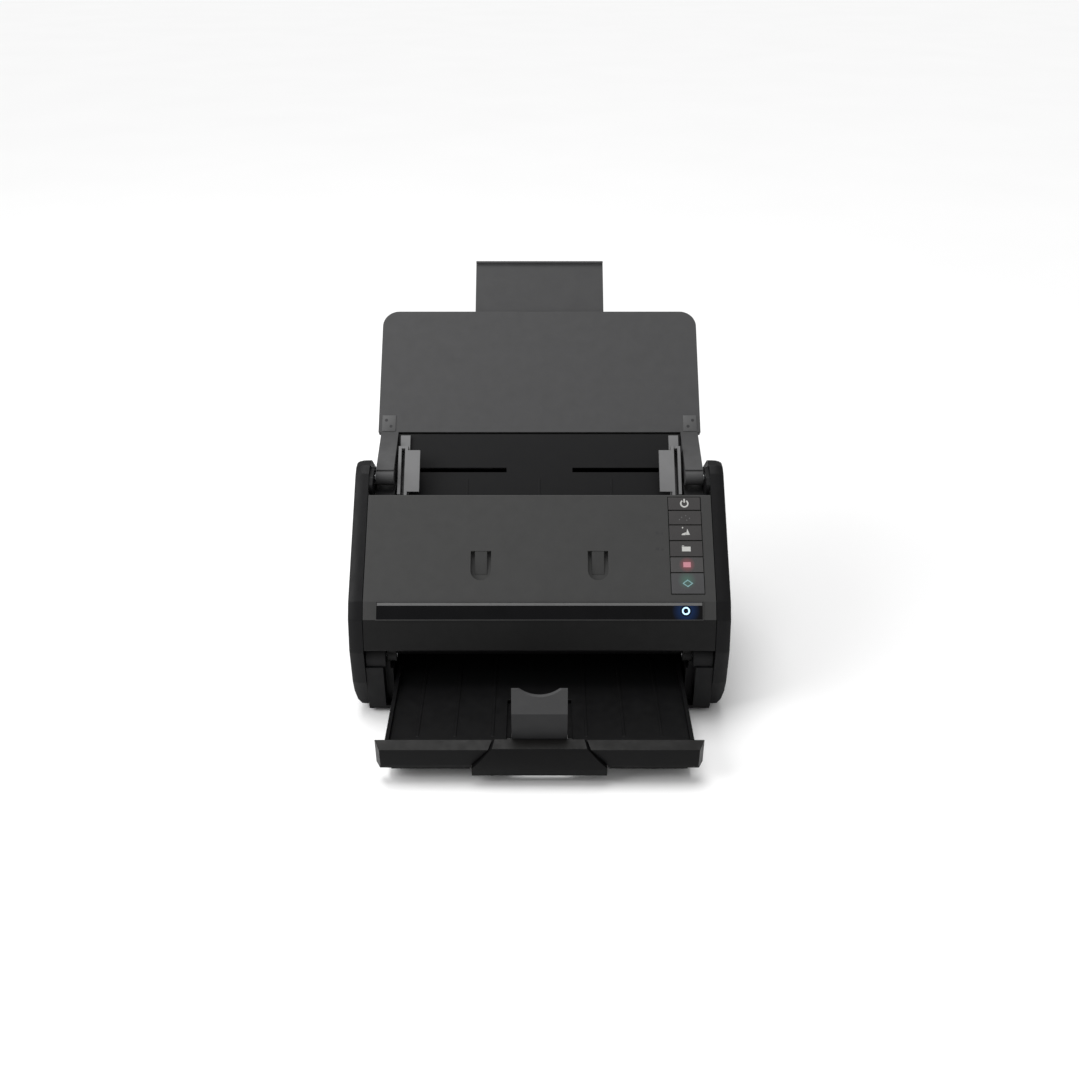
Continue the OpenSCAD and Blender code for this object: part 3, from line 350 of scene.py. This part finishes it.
def raised(name, face, shapes, height, material, sink=0.1, soften=0.0):
    """Flat shapes, lists of [u, v] corners in mm, that stand out of a face as closed solids."""
    bm = bmesh.new()
    for corners in shapes:
        bm.faces.new([bm.verts.new(face.at(u, v, -sink)) for u, v in corners])
    bmesh.ops.remove_doubles(bm, verts=bm.verts, dist=WELD)
    grown = bmesh.ops.extrude_face_region(bm, geom=bm.faces[:])
    tops = [g for g in grown["geom"] if isinstance(g, bmesh.types.BMVert)]
    bmesh.ops.translate(bm, verts=tops, vec=face.normal * (height + sink) * MM)
    bmesh.ops.recalc_face_normals(bm, faces=bm.faces)
    if soften:
        rim = [
            e for e in bm.edges
            if len(e.link_faces) == 2 and e.calc_face_angle(0) > 1
            and all(v in tops for v in e.verts)
        ]
        bmesh.ops.bevel(bm, geom=rim, offset=soften * MM, segments=2, profile=0.5, affect="EDGES")
    mesh = bpy.data.meshes.new(name)
    bm.to_mesh(mesh)
    bm.free()
    mesh.shade_smooth()
    mesh.set_sharp_from_angle(angle=SHARP)
    mesh.materials.append(material)
    piece = bpy.data.objects.new(name, mesh)
    bpy.context.scene.collection.objects.link(piece)
    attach(piece, body_of(face.node))
    return piece


def arc(inner, outer, start, end, steps, centre=(0, 0), squash=1.0):
    """A part of a ring as four-cornered pieces, angles in degrees."""
    def point(r, i):
        a = math.radians(start + (end - start) * i / steps)
        return [centre[0] + r * math.cos(a), centre[1] + squash * r * math.sin(a)]
    return [
        [point(inner, i), point(outer, i), point(outer, i + 1), point(inner, i + 1)]
        for i in range(steps)
    ]


def disc(radius, centre=(0, 0), steps=28):
    """A round shape as one many-sided outline."""
    turns = [2 * math.pi * i / steps for i in range(steps)]
    u, v = centre
    return [[[u + radius * math.cos(a), v + radius * math.sin(a)] for a in turns]]


def bar(u0, u1, v0, v1):
    """A rectangle's four corners."""
    return [[u0, v0], [u1, v0], [u1, v1], [u0, v1]]


KEYS = ("power", "upper_mode", "middle_mode", "lower_mode", "stop", "start")
key_face = {k: Face(k + "_button") for k in KEYS}
strip = Face("indicator_strip")
light = Face("status_light")
panel = Face("front_cover")

# painted light: the status light's blue halo is painted onto the strip as emission
GLOSS = glossy(
    "gloss_black_strip_painted_halo", (0.003, 0.003, 0.0035),
    glow=(light.middle, 11 * MM, (0.015, 0.09, 0.34), 0.22, 3.2 * MM),
)
FINISH["indicator_strip"] = GLOSS
# painted light: dim red and green glows around the stop and start icons, painted as emission on the
# key plastic
FINISH["stop_button"] = plastic(
    "stop_key_painted_glow", (0.052, 0.050, 0.050), 0.5, 3000,
    glow=(key_face["stop"].middle, 6.5 * MM, (0.42, 0.03, 0.06), 0.32, 2 * MM),
)
FINISH["start_button"] = plastic(
    "start_key_painted_glow", (0.052, 0.052, 0.054), 0.5, 3000,
    glow=(key_face["start"].at(-0.5, 2.5), 7.5 * MM, (0.01, 0.20, 0.12), 0.28, 1.5 * MM),
)


# ---- softened edges ----


def softened(node, width, segments=2, angle=28):
    """A finished copy of a CAD node: flat faces made whole again and every crisp edge rounded."""
    source = frame["nodes"][node]
    mesh = source.data.copy()
    mesh.name = node + "_shape"
    bm = bmesh.new()
    bm.from_mesh(mesh)
    bmesh.ops.remove_doubles(bm, verts=bm.verts, dist=0.004 * MM)
    bmesh.ops.dissolve_limit(bm, angle_limit=math.radians(0.6), verts=bm.verts, edges=bm.edges)
    if width:
        limit = math.radians(angle)
        crisp = [
            e for e in bm.edges if len(e.link_faces) == 2 and e.calc_face_angle(0) > limit
        ]
        bmesh.ops.bevel(
            bm, geom=crisp, offset=width, segments=segments, profile=0.5,
            affect="EDGES", clamp_overlap=True, harden_normals=False,
        )
    bmesh.ops.recalc_face_normals(bm, faces=bm.faces)
    bm.to_mesh(mesh)
    bm.free()
    for layer in list(mesh.color_attributes):
        mesh.color_attributes.remove(layer)
    mesh.shade_smooth()
    mesh.set_sharp_from_angle(angle=SHARP)
    piece = bpy.data.objects.new(node + "_finish", mesh)
    bpy.context.scene.collection.objects.link(piece)
    weighted = piece.modifiers.new("even_shading", "WEIGHTED_NORMAL")
    weighted.keep_sharp = True
    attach(piece, body_of(node))
    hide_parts(node)
    return piece


def paint(piece, material):
    """Gives a piece one material in place of its own."""
    piece.data.materials.clear()
    piece.data.materials.append(material)


# how far each node's crisp edges are rounded, in millimetres
EDGE = {
    "left_side_cover": 0.5, "right_side_cover": 0.5, "front_cover": 0.7, "bottom_pan": 0.6,
    "rear_cover": 0.9, "left_hinge_cover": 0.8, "right_hinge_cover": 0.8, "feed_chute": 0.4,
    "input_tray": 0.8, "tray_extension": 0.5, "left_edge_guide": 0.35, "right_edge_guide": 0.35,
    "output_tray": 0.45, "output_tray_front": 0.8, "output_extension": 0.6, "paper_stopper": 0.5,
    "power_button": 0.45, "upper_mode_button": 0.45, "middle_mode_button": 0.45,
    "lower_mode_button": 0.45, "stop_button": 0.45, "start_button": 0.45,
    "indicator_strip": 0.25, "status_light": 0.2, "rubber_feet": 0.4, "cover_release_lever": 0.4,
}

finished = {}
for name in frame["nodes"]:
    finished[name] = softened(name, EDGE.get(name, 0.2) * MM)
    paint(finished[name], FINISH.get(name, BLACK))


# ---- painted shade: the lower face, below the strip, is painted darker than the panel ----

cover_mesh = finished["front_cover"].data
cover_mesh.materials.append(SHADED_FACE)
strip_foot = (strip.middle - strip.up * strip.half[1]).z
for p in cover_mesh.polygons:
    if p.center.z < strip_foot:
        p.material_index = 1


# ---- painted shade: the stopper's lower part, below the bend, is painted darker; painted reflection: the front bars' bevels get a lighter, warmer colour and their own gloss ----

stop_mesh = finished["paper_stopper"].data
stop_mesh.materials.append(STOP_SHADED)
stop_low, stop_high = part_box("paper_stopper")
BEND = 0.62  # the bend's height as a share of the stopper's
stop_bend = stop_low.z + BEND * (stop_high.z - stop_low.z)
for p in stop_mesh.polygons:
    if p.center.z < stop_bend:
        p.material_index = 1
# painted reflection: the upward-facing bevels take the lighter, warmer rim colour
for node in ("output_tray_front", "output_extension"):
    bar_mesh = finished[node].data
    bar_mesh.materials.append(RIM_REFLECTION)
    for p in bar_mesh.polygons:
        if p.normal.z > 0.35 and p.normal.y < -0.15:
            p.material_index = 1


# ---- printed icons, plain shapes with no lettering ----

INK = 0.05  # the ink's height over the key, in mm
DOTS = ((-4.4, -1.8), (-2.6, 0.2), (0.6, 1.6), (1.4, -2.2), (3.6, -0.6))
rhomb = [[-4.2, 0], [0, -3.1], [4.2, 0], [0, 3.1]]
inner_rhomb = [[0.72 * u, 0.68 * v] for u, v in rhomb]
ICONS = {
    "power": (arc(2.2, 3.4, 125, 415, 26) + [bar(-0.6, 0.6, 0.8, 4.0)], INK_WHITE),
    "upper_mode": ([p for place in DOTS for p in disc(0.45, place, 12)], INK_GREY),
    "middle_mode": (
        [
            [[0.2, -1.8], [3.4, -1.8], [1.4, 3.4]],
            [[-3.4, -2.0], [-0.1, -2.0], [0.5, 0.4], [-2.8, -0.8]],
        ]
        + disc(0.6, (-2.2, 4.2), 12),
        INK_WHITE,
    ),
    "lower_mode": ([bar(-3.4, 3.4, -2.2, 1.7), bar(-3.4, -1.6, 2.0, 2.6)], INK_WHITE),
    "stop": ([bar(-2.9, 2.9, -2.1, 2.1)], INK_RED),
    "start": (
        [[rhomb[i - 1], rhomb[i], inner_rhomb[i], inner_rhomb[i - 1]] for i in range(4)],
        INK_TEAL,
    ),
}
for k, (shapes, ink) in ICONS.items():
    raised(k + "_icon", key_face[k], shapes, INK, ink)

# the small marks printed on the panel, left of two keys
MARK = [bar(-3.0, -0.6, -1.1, 1.1), [[0.5, -1.1], [2.7, -1.1], [2.7, 1.1]]]
for k in ("middle_mode", "lower_mode"):
    beside = Face(k + "_button")
    beside.middle = beside.at(-1000 * beside.half[0] - 8, 0)
    away = (beside.middle - panel.middle).dot(beside.normal)
    beside.middle -= beside.normal * away
    beside.node = "front_cover"
    raised(k + "_mark", beside, MARK, 0.04, INK_DARK_AND_PIT_SHADE)


# ---- the brackets at the foot of the input tray ----

tray = Face("input_tray")
low_edge, side_edge = -1000 * tray.half[1], 1000 * tray.half[0]
for side, sign in (("left", -1), ("right", 1)):
    u0, u1 = sorted((sign * (side_edge - 14.5), sign * (side_edge - 3.0)))
    plate = [bar(u0, u1, low_edge + 0.5, low_edge + 15)]
    raised(side + "_bracket", tray, plate, 0.5, ARM, 0.3, 0.3)
    # painted shade: flat dark discs stand in for the two pits in each bracket
    pit_shades = disc(1.3, (sign * (side_edge - 6.5), low_edge + 10.5))
    pit_shades += disc(1.3, (sign * (side_edge - 10.5), low_edge + 5))
    raised(side + "_pit_shades", tray, pit_shades, 0.56, INK_DARK_AND_PIT_SHADE, 0.0)


# ---- the strip's border, its painted glint and its ring of light ----

u, v = (1000 * h for h in strip.half)
BORDER = 0.7
inside = [[-u, v], [u, v], [u, -v], [-u, -v]]
outside = [[a + math.copysign(BORDER, a), b + math.copysign(BORDER, b)] for a, b in inside]
frame_bars = [
    [outside[i], inside[i], inside[(i + 1) % 4], outside[(i + 1) % 4]] for i in range(4)
]
raised("strip_border", strip, frame_bars, 0.45, PANEL, 0.6, 0.2)
# painted reflection: a lighter grey band along the top of the strip
glint = [bar(-u + 0.3, u - 0.3, v - 2.6, v - 0.3)]
raised("strip_painted_glint", strip, glint, 0.05, GLINT_PAINT)
raised("light_ring", light, arc(2.0, 3.1, 0, 360, 40), 0.35, LIGHT, 0.2, 0.12)


# ---- camera, floor and light ----


# the solved view: 30 degrees above level, from in front of the middle
TILT = math.radians(30)
EYE = Vector((0, -0.7929, 0.566))
LENS_MM, SENSOR_MM = 36.7, 36
FLOOR_HALF = 40


def aim(thing, place, target):
    """Puts a camera or light at place, looking at target."""
    thing.location = place
    thing.rotation_euler = (Vector(target) - Vector(place)).to_track_quat("-Z", "Y").to_euler()


def camera():
    data = bpy.data.cameras.new("camera")
    data.sensor_width = SENSOR_MM
    data.lens = LENS_MM
    thing = bpy.data.objects.new("camera", data)
    bpy.context.scene.collection.objects.link(thing)
    aim(thing, EYE, EYE + Vector((0, math.cos(TILT), -math.sin(TILT))))
    bpy.context.scene.camera = thing


def floor():
    mesh = bpy.data.meshes.new("floor")
    h = FLOOR_HALF
    mesh.from_pydata([(-h, -h, 0), (h, -h, 0), (h, h, 0), (-h, h, 0)], [], [(0, 1, 2, 3)])
    thing = bpy.data.objects.new("floor", mesh)
    bpy.context.scene.collection.objects.link(thing)
    m = Nodes("pale_floor")
    pale = m.two_tone(m.noise(3, 2), (0.90, 0.90, 0.90), (0.93, 0.93, 0.93))
    m.link(pale, m.shader.inputs["Base Color"])
    m.shader.inputs["Roughness"].default_value = 0.9
    m.shader.inputs["Specular IOR Level"].default_value = 0.1
    mesh.materials.append(m.material)


def area_light(name, place, target, size, power):
    data = bpy.data.lights.new(name, "AREA")
    data.shape = "RECTANGLE"
    data.size, data.size_y = size
    data.energy = power
    thing = bpy.data.objects.new(name, data)
    bpy.context.scene.collection.objects.link(thing)
    aim(thing, place, target)


def sun(name, toward, strength, spread):
    data = bpy.data.lights.new(name, "SUN")
    data.energy = strength
    data.angle = math.radians(spread)
    thing = bpy.data.objects.new(name, data)
    bpy.context.scene.collection.objects.link(thing)
    aim(thing, toward, (0, 0, 0))


def world(strength):
    w = bpy.data.worlds.new("studio")
    bpy.context.scene.world = w
    w.use_nodes = True
    background = w.node_tree.nodes["Background"]
    background.inputs["Color"].default_value = (1, 1, 1, 1)
    background.inputs["Strength"].default_value = strength


camera()
floor()
world(0.46)
sun("sun", (-0.12, 0.24, 1.0), 1.9, 34)
area_light("window_left", (-1.1, -0.3, 0.9), (0, 0, 0.12), (0.9, 0.9), 12)

bpy.context.scene.view_settings.view_transform = "Standard"
